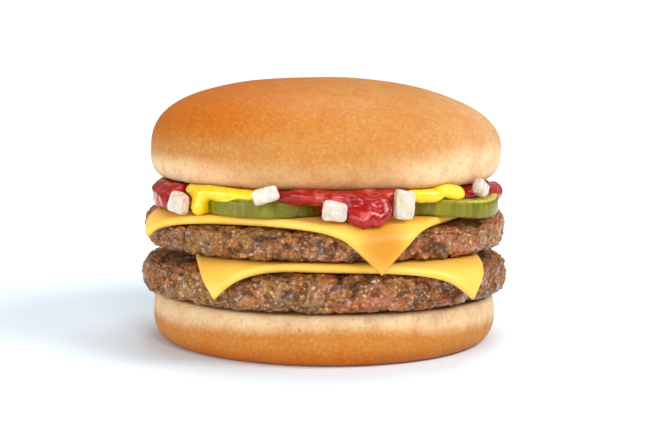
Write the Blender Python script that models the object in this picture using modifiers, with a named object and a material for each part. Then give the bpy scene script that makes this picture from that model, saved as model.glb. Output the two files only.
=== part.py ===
"""Double cheeseburger: a plain round bun, two patties, two cheese slices, pickles, sauces and diced onion.

Metres, +Z up. The origin is the middle of the flat underside. The front, where the slices hang out, faces -Y.
"""

import math

import bmesh
import bpy
import numpy as np
from mathutils import Matrix, Vector, noise
from mathutils.bvhtree import BVHTree

MM = 0.001
GAP = 0.3 * MM  # left between pieces that touch

# Bun: heights are of the crown's cut face, its widest ring and its top
CROWN_RADIUS = 50.3 * MM
CROWN_BASE = 46.6 * MM
CROWN_WIDEST = 54.2 * MM
CROWN_TOP = 74.9 * MM
CROWN_LIP = 5.5 * MM
CROWN_HOLLOW = 1.2 * MM
CROWN_LEAN = 3.0 * MM
CROWN_NOD = math.radians(2.2)
DOME_POWER = 2.4  # 2 is an ellipse, more is fuller in the shoulders
LIP_POWER = 2.6
CROWN_UNEVEN = 1.2 * MM
CROWN_UNEVEN_SIZE = 45.0 * MM
HEEL_RADIUS = 49.4 * MM
HEEL_BASE_RADIUS = 44.0 * MM
HEEL_WIDEST = 7.0 * MM
HEEL_TOP = 13.6 * MM
HEEL_TOP_RADIUS = 47.4 * MM
SHOULDER_POWERS = (2.4, 2.8)
FOOT_POWER = 2.2
HEEL_UNEVEN = 0.9 * MM
HEEL_UNEVEN_SIZE = 40.0 * MM

# Patties: the radius and height that hold every crag
PATTY_LOWER_RADIUS = 54.0 * MM
PATTY_UPPER_RADIUS = 53.2 * MM
PATTY_THICKNESS = 10.7 * MM
PATTY_RIM_POWER = 17.0
PATTY_FACE_POWER = 3.2
PATTY_SAG = 1.0 * MM  # how far the upper rim droops over the lower patty
FRONT_DIP = 2.4 * MM

# Beef surface: how deep and how wide its outline, its lumps and its crags are
BEEF_OUTLINE = (1.2 * MM, 26.0 * MM)
BEEF_LUMPS = (2.4 * MM, 7.5 * MM)
BEEF_CRAGS = (0.8 * MM, 4.5 * MM)

# Cheese
SLICE_THICKNESS = 2.3 * MM
SLICE_STEEPEST = math.radians(80.0)
DRAPE_EASE = 1.0 * MM  # how far a hanging slice stands off the rim
SCOOP_MIDDLE = -0.45
SCOOP_WIDTH = 0.3

# Filling
PICKLE_RADIUS = 19.0 * MM
PICKLE_THICKNESS = 4.2 * MM
PICKLE_STEEPEST = 0.4
PICKLE_SOFTENED = 0.6 * MM
PICKLE_LOBES = 0.02  # how far the skin is from round, as a share of the radius
ONION_SOFTENED = 0.5 * MM
ONION_NARROWS = 0.16
ONION_TAPERS = 0.1

# Heights of the stack, from the plate up
PATTY_LOWER_MIDDLE = HEEL_TOP + GAP + PATTY_THICKNESS / 2
PATTY_LOWER_TOP = PATTY_LOWER_MIDDLE + PATTY_THICKNESS / 2
PATTY_UPPER_MIDDLE = PATTY_LOWER_TOP + 2 * GAP + SLICE_THICKNESS + PATTY_THICKNESS / 2
PATTY_UPPER_TOP = PATTY_UPPER_MIDDLE + PATTY_THICKNESS / 2
FILLING_BASE = PATTY_UPPER_TOP + 2 * GAP + SLICE_THICKNESS

# Cheese slices: side, middle in plan, turn, bulge of each side, a scoop in the front side, tugs on corners
# given by their signs in the slice's own plan, how closely the slice hugs the rim, and the corner that clings
SLICES = {
    "cheese_lower": {
        "side": 74.5 * MM,
        "middle": (2.2 * MM, -11.6 * MM),
        "turn": math.radians(3.4),
        "bulge": 0.035,
        "scoop": 3.0 * MM,
        "tugs": {(-1, -1): (2.7 * MM, -3.5 * MM)},
        "hug": 0.75,
        "clings": None,
    },
    "cheese_upper": {
        "side": 75.6 * MM,
        "middle": (0.9 * MM, -11.3 * MM),
        "turn": math.radians(-28.0),
        "bulge": 0.015,
        "scoop": 0.0,
        "tugs": {
            (-1, -1): (3.0 * MM, -4.2 * MM),
            (1, -1): (0.1 * MM, -0.6 * MM),
            (1, 1): (-1.5 * MM, -0.5 * MM),
        },
        "hug": 0.15,
        "clings": (-1, -1),
    },
}

# Pickle chips: middle in plan in mm, and how much thicker each is cut per mm towards the right
PICKLES = [(-13.2, -29.6, -0.04), (27.8, -21.4, 0.0), (15.0, 27.0, 0.015), (-27.0, 14.0, 0.0)]

# Diced onion: angle round the burger, distance out and height in mm, size in mm, and tilt in degrees
ONIONS = [
    (-134.5, 53.4, 41.0, (5.8, 3.6, 5.6), 14.0),
    (-105.8, 52.8, 44.2, (7.0, 3.4, 4.2), -18.0),
    (-87.5, 53.1, 40.5, (6.4, 3.8, 5.2), 6.0),
    (-68.2, 52.4, 41.9, (5.2, 3.8, 7.6), 3.0),
    (-37.0, 51.2, 45.0, (4.8, 3.4, 4.0), 28.0),
    (14.0, 47.8, 43.2, (5.0, 3.8, 4.2), -12.0),
    (26.0, 50.2, 42.6, (6.0, 4.0, 4.6), 15.0),
    (46.0, 50.4, 44.2, (5.0, 3.6, 4.2), -24.0),
    (84.0, 49.4, 43.0, (5.4, 4.0, 5.4), 9.0),
    (124.0, 49.2, 42.8, (6.6, 4.0, 4.6), -14.0),
    (168.0, 49.4, 42.6, (5.2, 3.8, 4.0), 12.0),
]

# Lobes of sauce at the rim: angle, half width in degrees, and reach from the middle in mm
MUSTARD_LOBES = [(-123.0, 18.0, 51.8), (-53.0, 12.0, 51.4), (42.0, 15.0, 49.4), (148.0, 14.0, 49.4)]
MUSTARD_DROP = (-131.0, 8.0)  # angle and half width of the place where it hangs down to the cheese
MUSTARD_RIM = (0.84, 0.92)  # shares of the patty's radius between which the film thickens to a rope
MUSTARD_DEPTH = 3.6 * MM
MUSTARD_CORE = 33.0 * MM
MUSTARD_FILM = 1.0 * MM
SAUCE_EASE = 0.25 * MM
SAUCE_SLUMP = 1.2  # fall of the sauce for each mm that it stands out past the crown
SAUCE_THINNEST = 0.4 * MM
LOBE_SPREAD = 1.6
LOBE_FULLNESS = 0.45
KETCHUP_LOBES = [
    (-164.0, 13.0, 51.6),
    (-148.0, 8.0, 51.6),
    (-97.0, 10.0, 51.2),
    (-78.0, 9.0, 54.2),
    (-39.0, 5.0, 50.4),
    (-22.0, 9.0, 52.4),
    (14.0, 10.0, 49.6),
    (72.0, 12.0, 49.8),
    (106.0, 13.0, 50.4),
]
KETCHUP_CORE = 45.0 * MM

SLIVER = 0.003 * MM  # edges shorter than this are closed up after cutting
CROWN_STEPS = 40
HEEL_STEPS = 40
PATTY_STEPS = 84
SAUCE_STEPS = 50
PICKLE_STEPS = 20
SLICE_CELLS = 14


def empty_scene():
    for obj in list(bpy.data.objects):
        bpy.data.objects.remove(obj, do_unlink=True)


def new_collection(name):
    collection = bpy.data.collections.new(name)
    bpy.context.scene.collection.children.link(collection)
    return collection


def material(name, colour, roughness):
    made = bpy.data.materials.new(name)
    made.use_nodes = True
    shader = made.node_tree.nodes["Principled BSDF"]
    shader.inputs["Base Color"].default_value = (*colour, 1.0)
    shader.inputs["Roughness"].default_value = roughness
    shader.inputs["Metallic"].default_value = 0.0
    return made


def place(obj, collection, finish):
    """Moves a new object into its collection and gives it its one material."""
    for holder in list(obj.users_collection):
        holder.objects.unlink(obj)
    collection.objects.link(obj)
    obj.data.materials.clear()
    obj.data.materials.append(finish)


def apply_modifiers(obj):
    graph = bpy.context.evaluated_depsgraph_get()
    mesh = bpy.data.meshes.new_from_object(obj.evaluated_get(graph))
    obj.modifiers.clear()
    obj.data = mesh


def turned(name, profile, steps):
    """A solid turned about Z. The profile runs from the top of the axis down its outer side."""
    mesh = bpy.data.meshes.new(name)
    edges = [(i, i + 1) for i in range(len(profile) - 1)]
    mesh.from_pydata([(radius, 0.0, height) for radius, height in profile], edges, [])
    obj = bpy.data.objects.new(name, mesh)
    bpy.context.scene.collection.objects.link(obj)
    screw = obj.modifiers.new("Turn", "SCREW")
    screw.axis = "Z"
    screw.steps = screw.render_steps = steps
    screw.use_merge_vertices = True
    screw.merge_threshold = 0.01 * MM
    apply_modifiers(obj)
    return obj


def reshape(obj, moved):
    """Moves every vertex to moved(place, outward normal)."""
    bm = bmesh.new()
    bm.from_mesh(obj.data)
    bm.normal_update()
    places = [moved(v.co.copy(), v.normal.copy()) for v in bm.verts]
    for vertex, new_place in zip(bm.verts, places):
        vertex.co = new_place
    bm.to_mesh(obj.data)
    bm.free()


def smooth_shading(obj):
    obj.data.shade_smooth()
    obj.data.set_sharp_from_angle(angle=math.radians(50.0))


def rounded(radius, height, radius_power, height_power, angles):
    """Points of a superellipse quarter, or half, at these angles above its widest ring."""
    points = []
    for angle in angles:
        across = math.cos(angle) ** (2.0 / radius_power) if abs(angle) < math.pi / 2 else 0.0
        up = math.copysign(abs(math.sin(angle)) ** (2.0 / height_power), angle)
        points.append((radius * across, height * up))
    return points


def degrees_down(*angles):
    return [math.radians(angle) for angle in angles]


def smoothstep(low, high, value):
    share = min(1.0, max(0.0, (value - low) / (high - low)))
    return share * share * (3.0 - 2.0 * share)


def grain(point, size, seed):
    """Smooth noise from 0 to 1 with lumps of about this size."""
    return 0.5 + 0.5 * noise.noise(point / size + Vector((seed, 0.0, 0.0)))


def make_crown():
    """The domed half, its top leaning to one side and all of it nodding a little to the front."""
    dome_angles = degrees_down(90, 82, 74, 65, 55, 45, 35, 25, 16, 8, 0)
    lip_angles = degrees_down(-15, -30, -45, -60, -75, -90)
    dome = rounded(CROWN_RADIUS, CROWN_TOP - CROWN_WIDEST, DOME_POWER, DOME_POWER, dome_angles)
    lip = rounded(CROWN_LIP, CROWN_WIDEST - CROWN_BASE, LIP_POWER, LIP_POWER, lip_angles)
    profile = [(radius, CROWN_WIDEST + height) for radius, height in dome]
    profile += [(CROWN_RADIUS - CROWN_LIP + radius, CROWN_WIDEST + height) for radius, height in lip]
    profile += [(0.5 * CROWN_RADIUS, CROWN_BASE + 0.8 * CROWN_HOLLOW), (0.0, CROWN_BASE + CROWN_HOLLOW)]
    crown = turned("bun_crown", profile, CROWN_STEPS)

    nod = Matrix.Rotation(CROWN_NOD, 3, "X")
    middle = Vector((0.0, 0.0, CROWN_BASE))

    def baked(point, normal):
        rise = max(0.0, point.z - CROWN_WIDEST) / (CROWN_TOP - CROWN_WIDEST)
        uneven = CROWN_UNEVEN * (grain(point, CROWN_UNEVEN_SIZE, 3.0) - 0.5)
        point = point + normal * uneven * smoothstep(CROWN_BASE, CROWN_WIDEST, point.z)
        point.x -= CROWN_LEAN * rise * rise
        return nod @ (point - middle) + middle

    reshape(crown, baked)
    return crown


def make_heel():
    """The flat half on its flat round foot, its side rounded to the base and lightly to the cut face."""
    side_reach = HEEL_RADIUS - HEEL_BASE_RADIUS
    shoulder_reach = HEEL_RADIUS - HEEL_TOP_RADIUS
    shoulder_angles, foot_angles = degrees_down(90, 70, 52, 35, 18, 0), degrees_down(-18, -36, -54, -72, -90)
    shoulder = rounded(shoulder_reach, HEEL_TOP - HEEL_WIDEST, *SHOULDER_POWERS, shoulder_angles)
    foot = rounded(side_reach, HEEL_WIDEST, FOOT_POWER, FOOT_POWER, foot_angles)
    profile = [(0.0, HEEL_TOP), (0.5 * HEEL_RADIUS, HEEL_TOP)]
    profile += [(HEEL_TOP_RADIUS + radius, HEEL_WIDEST + height) for radius, height in shoulder]
    profile += [(HEEL_BASE_RADIUS + radius, HEEL_WIDEST + height) for radius, height in foot]
    profile += [(0.0, 0.0)]
    heel = turned("bun_heel", profile, HEEL_STEPS)

    def baked(point, normal):
        radius = math.hypot(point.x, point.y)
        side = smoothstep(0.8 * HEEL_RADIUS, 0.94 * HEEL_RADIUS, radius) * smoothstep(0.0, 0.3 * HEEL_TOP, point.z)
        return point - normal * HEEL_UNEVEN * grain(point, HEEL_UNEVEN_SIZE, 9.0) * side

    reshape(heel, baked)
    return heel


def front_dip(x, y):
    """How far the stack sinks near the rim in front, under the weight of the bun."""
    reach = math.hypot(x, y)
    return FRONT_DIP * smoothstep(8.0 * MM, 48.0 * MM, reach) * smoothstep(0.1, 0.7, -y / max(reach, MM))


def make_patty(name, radius, middle, seed, dipped):
    """Ground beef pressed by hand: a thick round cut in by crags, the upper one's rim sagging a little."""
    angles = degrees_down(90, 80, 65, 48, 32, 15, 0, -15, -32, -48, -65, -80, -90)
    profile = rounded(radius, PATTY_THICKNESS / 2, PATTY_RIM_POWER, PATTY_FACE_POWER, angles)
    patty = turned(name, [(across, middle + up) for across, up in profile], PATTY_STEPS)

    def ground(point, normal):
        across = math.hypot(point.x, point.y)
        rim = smoothstep(0.8 * radius, 0.95 * radius, across)
        depth, size = BEEF_OUTLINE
        outline = depth * grain(Vector((point.x, point.y, 0.0)), size, seed) * rim
        depth, size = BEEF_LUMPS
        lumps = depth * grain(point, size, seed + 5.0) ** 1.5 * (0.15 + 0.85 * rim)
        depth, size = BEEF_CRAGS
        crags = depth * grain(point, size, seed + 11.0) * (0.1 + 0.9 * rim)
        way = Vector((normal.x, normal.y, 0.15 * normal.z))
        upper = smoothstep(middle, middle + PATTY_THICKNESS / 2, point.z)
        sunk = front_dip(point.x, point.y) * upper + PATTY_SAG * rim * (1 - upper)
        return point - way * (outline + lumps + crags) - Vector((0.0, 0.0, sunk * dipped))

    reshape(patty, ground)
    return patty


def drape_curve(radius, middle, lift):
    """(arc length, radius, height) of a sheet laid on a patty: flat, bent over the rim, then hanging."""
    angles = np.linspace(math.pi / 2, 0.005, 2000)
    across = radius * np.cos(angles) ** (2.0 / PATTY_RIM_POWER)
    up = middle + PATTY_THICKNESS / 2 * np.sin(angles) ** (2.0 / PATTY_FACE_POWER)
    slope = np.arctan2(-np.gradient(up), np.gradient(across))
    across = across + (lift + DRAPE_EASE) * np.sin(slope)
    up = up + lift * np.cos(slope)
    keep = slope < SLICE_STEEPEST
    across, up, slope = across[keep], up[keep], slope[keep]
    across[0] = 0.0
    hang = 40.0 * MM
    across = np.append(across, across[-1] + hang * math.cos(slope[-1]))
    up = np.append(up, up[-1] - hang * math.sin(slope[-1]))
    length = np.concatenate([[0.0], np.cumsum(np.hypot(np.diff(across), np.diff(up)))])
    return length, across, up


def make_slice(name, radius, middle, dipped):
    """One square slice laid off centre on a patty, its corners bent over the rim and hanging."""
    plan = SLICES[name]
    bpy.ops.mesh.primitive_grid_add(x_subdivisions=SLICE_CELLS, y_subdivisions=SLICE_CELLS, size=2.0)
    sheet = bpy.context.object
    sheet.name = sheet.data.name = name
    length, across, up = drape_curve(radius, middle, GAP + SLICE_THICKNESS / 2)
    half = plan["side"] / 2
    turn = Matrix.Rotation(plan["turn"], 2)
    corners = [turn @ Vector((x, y)).normalized() for x in (-1, 1) for y in (-1, 1)]

    def finer_at_edge(share):
        return math.copysign(1.0 - (1.0 - abs(share)) ** 1.5, share)

    def at_corner(corner, x, y):
        return (1 + corner[0] * x) * (1 + corner[1] * y) / 4

    def laid(point, normal):
        x, y = finer_at_edge(point.x), finer_at_edge(point.y)
        bulge = plan["bulge"]
        flat = Vector((half * x * (1 + bulge * (1 - y * y)), half * y * (1 + bulge * (1 - x * x))))
        scooped = math.exp(-((x - SCOOP_MIDDLE) / SCOOP_WIDTH) ** 2) * smoothstep(0.0, 1.0, -y)
        flat.y += plan["scoop"] * scooped
        for corner, tug in plan["tugs"].items():
            flat += Vector(tug) * at_corner(corner, x, y) ** 3
        flat = turn @ flat + Vector(plan["middle"])
        reach = flat.length
        hugged_radius = np.interp(reach, length, across)
        hugged = flat * (hugged_radius / max(reach, MM))
        hugged_height = np.interp(reach, length, up)
        corner = max(corners, key=flat.dot)
        along = flat.dot(corner)
        folded = flat - corner * (along - np.interp(along, length, across))
        folded_height = np.interp(along, length, up)
        free = smoothstep(0.9 * radius, 1.12 * radius, reach) * (1 - plan["hug"])
        if plan["clings"]:
            free *= 1 - smoothstep(0.3, 0.6, at_corner(plan["clings"], x, y))
        spot = hugged * (1 - free) + folded * free
        height = hugged_height * (1 - free) + folded_height * free
        return Vector((spot.x, spot.y, height - front_dip(spot.x, spot.y) * dipped))

    reshape(sheet, laid)
    solidify = sheet.modifiers.new("Thickness", "SOLIDIFY")
    solidify.thickness = SLICE_THICKNESS
    solidify.offset = 0.0
    apply_modifiers(sheet)
    return sheet


def rest_curve():
    """(radius, height) of what lies on the upper slice, no steeper than a chip can bend."""
    _, across, up = drape_curve(PATTY_UPPER_RADIUS, PATTY_UPPER_MIDDLE, 2 * GAP + SLICE_THICKNESS)
    slope = np.clip(np.gradient(up, across + 1e-9 * np.arange(len(across))), -PICKLE_STEEPEST, 0.0)
    spacing = np.diff(across)
    return across, up[0] + np.concatenate([[0.0], np.cumsum(0.5 * (slope[1:] + slope[:-1]) * spacing)])


REST_RADIUS, REST_HEIGHT = rest_curve()


def rest_height(x, y):
    """Height at which the filling rests on the upper slice."""
    return float(np.interp(math.hypot(x, y), REST_RADIUS, REST_HEIGHT)) - front_dip(x, y)


def make_pickle(name, place_mm, swell):
    """A round chip, cut a little wedged, bent over the patty's rim. swell grows it, for use as a cutter."""
    radius, half = PICKLE_RADIUS + swell, PICKLE_THICKNESS / 2 + swell
    soft = 0.0 if swell else PICKLE_SOFTENED
    profile = [(0.0, half), (0.55 * radius, half), (0.82 * radius, half), (radius - soft, half)]
    profile += [(radius, half - soft)] if soft else []
    profile += [(across, -up) for across, up in reversed(profile)]
    chip = turned(name, profile, PICKLE_STEPS)
    middle = Vector((place_mm[0] * MM, place_mm[1] * MM, 0.0))

    def bent(point, normal):
        skin = 1.0 + PICKLE_LOBES * math.sin(3.0 * math.atan2(point.y, point.x) + 60.0 * middle.x)
        x, y = middle.x + point.x * skin, middle.y + point.y * skin
        wedge = 1.0 + place_mm[2] * point.x / PICKLE_THICKNESS
        return Vector((x, y, rest_height(x, y) + (PICKLE_THICKNESS / 2 + point.z) * wedge))

    reshape(chip, bent)
    return chip


def make_onion(name, onion, swell):
    """One dice with softened edges, its inner face a little narrower, as cut from a curved layer."""
    angle, distance, height, size, tilt = onion
    bpy.ops.mesh.primitive_cube_add(size=1.0)
    dice = bpy.context.object
    dice.name = dice.data.name = name
    width, depth, tall = (side * MM + 2 * swell for side in size)
    way = math.radians(angle)
    turn = Matrix.Rotation(way + math.pi / 2, 3, "Z") @ Matrix.Rotation(math.radians(tilt), 3, "Y")
    middle = Vector((distance * MM * math.cos(way), distance * MM * math.sin(way), height * MM))

    def cut(point, normal):
        narrow = 1.0 - ONION_NARROWS * (point.y + 0.5)
        taper = 1.0 - ONION_TAPERS * (point.x + 0.5)
        return Vector((point.x * width * narrow, point.y * depth, point.z * tall * taper))

    reshape(dice, cut)
    if not swell:
        bevel = dice.modifiers.new("Softened edge", "BEVEL")
        bevel.width = ONION_SOFTENED
        bevel.segments = 1
        apply_modifiers(dice)
    reshape(dice, lambda point, normal: turn @ point + middle)
    return dice


def outline(lobes, core, way):
    """How far a sauce reaches in this direction: the core, and a rounded lobe at each place listed."""
    reach = core
    for angle, half_width, lobe in lobes:
        apart = abs((math.degrees(way) - angle + 180.0) % 360.0 - 180.0)
        if apart < LOBE_SPREAD * half_width:
            share = 0.5 + 0.5 * math.cos(math.pi * apart / (LOBE_SPREAD * half_width))
            reach = max(reach, core + (lobe * MM - core) * share**LOBE_FULLNESS)
    return reach


def surface_tree(obj):
    bm = bmesh.new()
    bm.from_mesh(obj.data)
    tree = BVHTree.FromBMesh(bm)
    bm.free()
    return tree


def make_sauce(name, edge, roof, floor, swell):
    """A layer squeezed between floor(x, y) and roof(x, y) out to edge(way), its rim bulging round."""
    rings = [0.0, 0.5, 0.8, 0.9, 0.95, 0.985]
    upper = [(ring, 1.0 if ring <= 0.9 else math.sqrt(1 - ((ring - 0.9) / 0.1) ** 2)) for ring in rings]
    profile = upper + [(1.0, 0.0)] + [(ring, -half) for ring, half in reversed(upper)]
    sauce = turned(name, profile, SAUCE_STEPS)

    def squeezed(point, normal):
        share = math.hypot(point.x, point.y)
        way = math.atan2(point.y, point.x)
        reach = share * (edge(way) + swell)
        x, y = reach * math.cos(way), reach * math.sin(way)
        top, bottom = roof(x, y) + swell, floor(x, y) - swell
        middle, half = (top + bottom) / 2, max(SAUCE_THINNEST, top - bottom) / 2
        return Vector((x, y, middle + half * point.z))

    reshape(sauce, squeezed)
    return sauce


def cut_away(obj, cutters):
    """Takes the cutters out of obj, then drops them."""
    for cutter in cutters:
        boolean = obj.modifiers.new("Cut", "BOOLEAN")
        boolean.operation = "DIFFERENCE"
        boolean.solver = "MANIFOLD"
        boolean.object = cutter
        apply_modifiers(obj)
        bpy.data.objects.remove(cutter, do_unlink=True)


def keep_largest(obj):
    """Drops loose scraps that cutting left."""
    bm = bmesh.new()
    bm.from_mesh(obj.data)
    bmesh.ops.triangulate(bm, faces=bm.faces)
    bmesh.ops.dissolve_degenerate(bm, edges=bm.edges, dist=SLIVER)
    left = set(bm.faces)
    islands = []
    while left:
        island, frontier = [], [left.pop()]
        while frontier:
            face = frontier.pop()
            island.append(face)
            for edge in face.edges:
                for other in edge.link_faces:
                    if other in left and len(edge.link_faces) == 2:
                        left.discard(other)
                        frontier.append(other)
        islands.append(island)
    islands.sort(key=len, reverse=True)
    bmesh.ops.delete(bm, geom=[face for island in islands[1:] for face in island], context="FACES")
    bm.to_mesh(obj.data)
    bm.free()


def make_filling(crown, slice_upper):
    """Pickles, onion, mustard and ketchup, each cut clear of the ones before it."""
    pickles = [make_pickle(f"pickle_{i + 1}", place_mm, 0.0) for i, place_mm in enumerate(PICKLES)]
    onions = [make_onion(f"onion_{i + 1}", onion, 0.0) for i, onion in enumerate(ONIONS)]
    crown_tree, slice_tree = surface_tree(crown), surface_tree(slice_upper)
    up, down = Vector((0, 0, 1)), Vector((0, 0, -1))

    def roof(x, y):
        hit = crown_tree.ray_cast(Vector((x, y, FILLING_BASE)), up)[0]
        ceiling = hit.z if hit else CROWN_WIDEST
        share = math.hypot(x, y) / CROWN_RADIUS
        slump = SAUCE_SLUMP * CROWN_RADIUS * max(0.0, share - 1.0)
        level = CROWN_BASE + CROWN_HOLLOW * max(0.0, 1.0 - share) + y * math.sin(CROWN_NOD)
        return min(ceiling, level) - GAP - slump

    def floor(x, y):
        hit = slice_tree.ray_cast(Vector((x, y, CROWN_TOP)), down)[0]
        return (hit.z + SAUCE_EASE if hit else rest_height(x, y)) + GAP

    def mustard_floor(x, y):
        inner, outer = (share * PATTY_UPPER_RADIUS for share in MUSTARD_RIM)
        spread = smoothstep(inner, outer, math.hypot(x, y))
        apart = abs(math.degrees(math.atan2(y, x)) - MUSTARD_DROP[0])
        hanging = 1.0 - smoothstep(0.6 * MUSTARD_DROP[1], 1.2 * MUSTARD_DROP[1], apart)
        rim = (roof(x, y) - MUSTARD_DEPTH) * (1 - hanging) + floor(x, y) * hanging
        return max(floor(x, y), (roof(x, y) - MUSTARD_FILM) * (1 - spread) + rim * spread)

    def mustard_edge(way):
        return outline(MUSTARD_LOBES, MUSTARD_CORE, way)

    def ketchup_edge(way):
        return outline(KETCHUP_LOBES, KETCHUP_CORE, way)

    def cutters(swell):
        made = [make_pickle("pickle_cutter", place_mm, swell) for place_mm in PICKLES]
        return made + [make_onion("onion_cutter", onion, swell) for onion in ONIONS]

    mustard = make_sauce("mustard", mustard_edge, roof, mustard_floor, 0.0)
    ketchup = make_sauce("ketchup", ketchup_edge, roof, floor, 0.0)
    mustard_cutter = make_sauce("mustard_cutter", mustard_edge, roof, mustard_floor, 2 * GAP)
    cut_away(mustard, cutters(GAP))
    cut_away(ketchup, cutters(GAP) + [mustard_cutter])
    keep_largest(mustard)
    keep_largest(ketchup)
    return pickles, onions, mustard, ketchup


def make_burger():
    empty_scene()
    burger = new_collection("double_cheeseburger")
    crust = material("golden crust", (0.71, 0.36, 0.12), 0.6)
    beef = material("grilled beef", (0.22, 0.10, 0.06), 0.55)
    cheese = material("melted cheese", (0.93, 0.56, 0.08), 0.4)
    pickle = material("pickle", (0.27, 0.29, 0.04), 0.35)
    onion = material("diced onion", (0.84, 0.80, 0.70), 0.35)
    red = material("ketchup", (0.50, 0.02, 0.015), 0.25)
    yellow = material("mustard", (0.86, 0.64, 0.02), 0.35)

    crown = make_crown()
    heel = make_heel()
    patty_lower = make_patty("patty_lower", PATTY_LOWER_RADIUS, PATTY_LOWER_MIDDLE, 21.0, 0.0)
    patty_upper = make_patty("patty_upper", PATTY_UPPER_RADIUS, PATTY_UPPER_MIDDLE, 47.0, 1.0)
    slice_lower = make_slice("cheese_lower", PATTY_LOWER_RADIUS, PATTY_LOWER_MIDDLE, 0.0)
    slice_upper = make_slice("cheese_upper", PATTY_UPPER_RADIUS, PATTY_UPPER_MIDDLE, 1.0)
    pickles, onions, mustard, ketchup = make_filling(crown, slice_upper)

    finishes = [
        (crust, [crown, heel]),
        (beef, [patty_lower, patty_upper]),
        (cheese, [slice_lower, slice_upper]),
        (pickle, pickles),
        (onion, onions),
        (red, [ketchup]),
        (yellow, [mustard]),
    ]
    for finish, pieces in finishes:
        for piece in pieces:
            place(piece, burger, finish)
            smooth_shading(piece)


make_burger()
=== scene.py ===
"""The double cheeseburger, dressed for the studio.

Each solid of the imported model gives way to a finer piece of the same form, with the look of the real food.
"""

import math

import bpy
import numpy as np
from mathutils import Matrix, Vector, noise
from mathutils.bvhtree import BVHTree


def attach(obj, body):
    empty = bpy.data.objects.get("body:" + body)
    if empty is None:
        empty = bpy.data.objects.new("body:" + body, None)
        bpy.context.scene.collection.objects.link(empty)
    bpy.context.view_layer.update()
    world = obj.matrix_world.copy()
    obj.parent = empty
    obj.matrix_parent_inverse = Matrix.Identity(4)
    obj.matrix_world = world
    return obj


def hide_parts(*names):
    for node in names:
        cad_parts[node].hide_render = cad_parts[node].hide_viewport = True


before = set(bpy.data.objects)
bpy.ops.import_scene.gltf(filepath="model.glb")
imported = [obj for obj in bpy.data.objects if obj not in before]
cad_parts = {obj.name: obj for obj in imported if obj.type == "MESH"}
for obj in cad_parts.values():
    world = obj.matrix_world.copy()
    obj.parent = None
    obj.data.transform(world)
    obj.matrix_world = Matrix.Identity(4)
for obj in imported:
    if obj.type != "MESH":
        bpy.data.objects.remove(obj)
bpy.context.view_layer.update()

MM = 0.001
GAP = 0.3 * MM

# bun
CROWN_RADIUS = 50.3 * MM
CROWN_BASE = 46.6 * MM
CROWN_WIDEST = 54.2 * MM
CROWN_TOP = 74.9 * MM
CROWN_LIP = 5.5 * MM
CROWN_HOLLOW = 1.2 * MM
CROWN_LEAN = 3.0 * MM
CROWN_NOD = math.radians(2.2)
CROWN_DOME_POWER = 2.4
CROWN_LIP_POWER = 2.6
# the most that the dome sinks below its solid, on its right side
CROWN_SETTLED = 1.3 * MM
BUN_STEPS = 176
BUN_RIPPLE = 0.25 * MM
HEEL_RADIUS = 49.4 * MM
HEEL_BASE_RADIUS = 44.0 * MM
HEEL_WIDEST = 7.0 * MM
HEEL_TOP = 13.6 * MM
HEEL_TOP_RADIUS = 47.4 * MM

# patties and slices
PATTY_LOWER_RADIUS = 54.0 * MM
PATTY_UPPER_RADIUS = 53.2 * MM
PATTY_THICKNESS = 10.7 * MM
PATTY_RIM_POWER = 17.0
PATTY_FACE_POWER = 3.2
PATTY_SAG = 1.0 * MM
CRUMB_SEED = 7
PATTY_STEPS = 720
PATTY_SPACING = 0.46 * MM
BEEF_OUTLINE = 1.2 * MM
BEEF_LUMPS = 2.4 * MM
BEEF_CRAGS = 0.8 * MM
CRUMB = 3.6 * MM
SMALL_CRUMB = 1.35 * MM
FRAY = 1.2 * MM
CRUMB_REACH = 0.72
FRONT_DIP = 2.4 * MM
SLICE_THICKNESS = 2.3 * MM
SLICE_STEEPEST = math.radians(80.0)
DRAPE_EASE = 1.0 * MM
SLICE_HANG = 40.0 * MM
SLICE_CUTS = 96
THINNEST_EDGE = 0.16
PATTY_LOWER_MIDDLE = HEEL_TOP + GAP + PATTY_THICKNESS / 2
PATTY_LOWER_TOP = PATTY_LOWER_MIDDLE + PATTY_THICKNESS / 2
PATTY_UPPER_MIDDLE = PATTY_LOWER_TOP + 2 * GAP + SLICE_THICKNESS + PATTY_THICKNESS / 2
PATTY_UPPER_TOP = PATTY_UPPER_MIDDLE + PATTY_THICKNESS / 2
FILLING_BASE = PATTY_UPPER_TOP + 2 * GAP + SLICE_THICKNESS

# each slice's shade is how strong the painted shade is in the middle of its front corner
SLICES = {
    "cheese_lower": {
        "side": 74.5 * MM,
        "middle": (2.2 * MM, -11.6 * MM),
        "turn": math.radians(3.4),
        "bulge": 0.035,
        "scoop": 3.0 * MM,
        "tugs": {(-1, -1): (2.7 * MM, -3.5 * MM)},
        "hug": 0.75,
        "clings": None,
        "shade": 0.25,
    },
    "cheese_upper": {
        "side": 75.6 * MM,
        "middle": (0.9 * MM, -11.3 * MM),
        "turn": math.radians(-28.0),
        "bulge": 0.015,
        "scoop": 0.0,
        "tugs": {
            (-1, -1): (3.0 * MM, -4.2 * MM),
            (1, -1): (0.1 * MM, -0.6 * MM),
            (1, 1): (-1.5 * MM, -0.5 * MM),
        },
        "hug": 0.15,
        "clings": (-1, -1),
        "shade": 1.0,
    },
}

# filling
PICKLE_RADIUS = 19.0 * MM
PICKLE_THICKNESS = 4.2 * MM
PICKLE_STEEPEST = 0.4
PICKLE_EDGE = 0.7 * MM
PICKLE_STEPS = 120
PICKLE_SUNK = 0.25 * MM
# each chip: across and forward place in mm, and how much thicker it is on one side
PICKLES = [(-13.2, -29.6, -0.04), (27.8, -21.4, 0.0), (15.0, 27.0, 0.015), (-27.0, 14.0, 0.0)]
ONION_EDGE = 1.15 * MM
ONION_CUTS = 13
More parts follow.
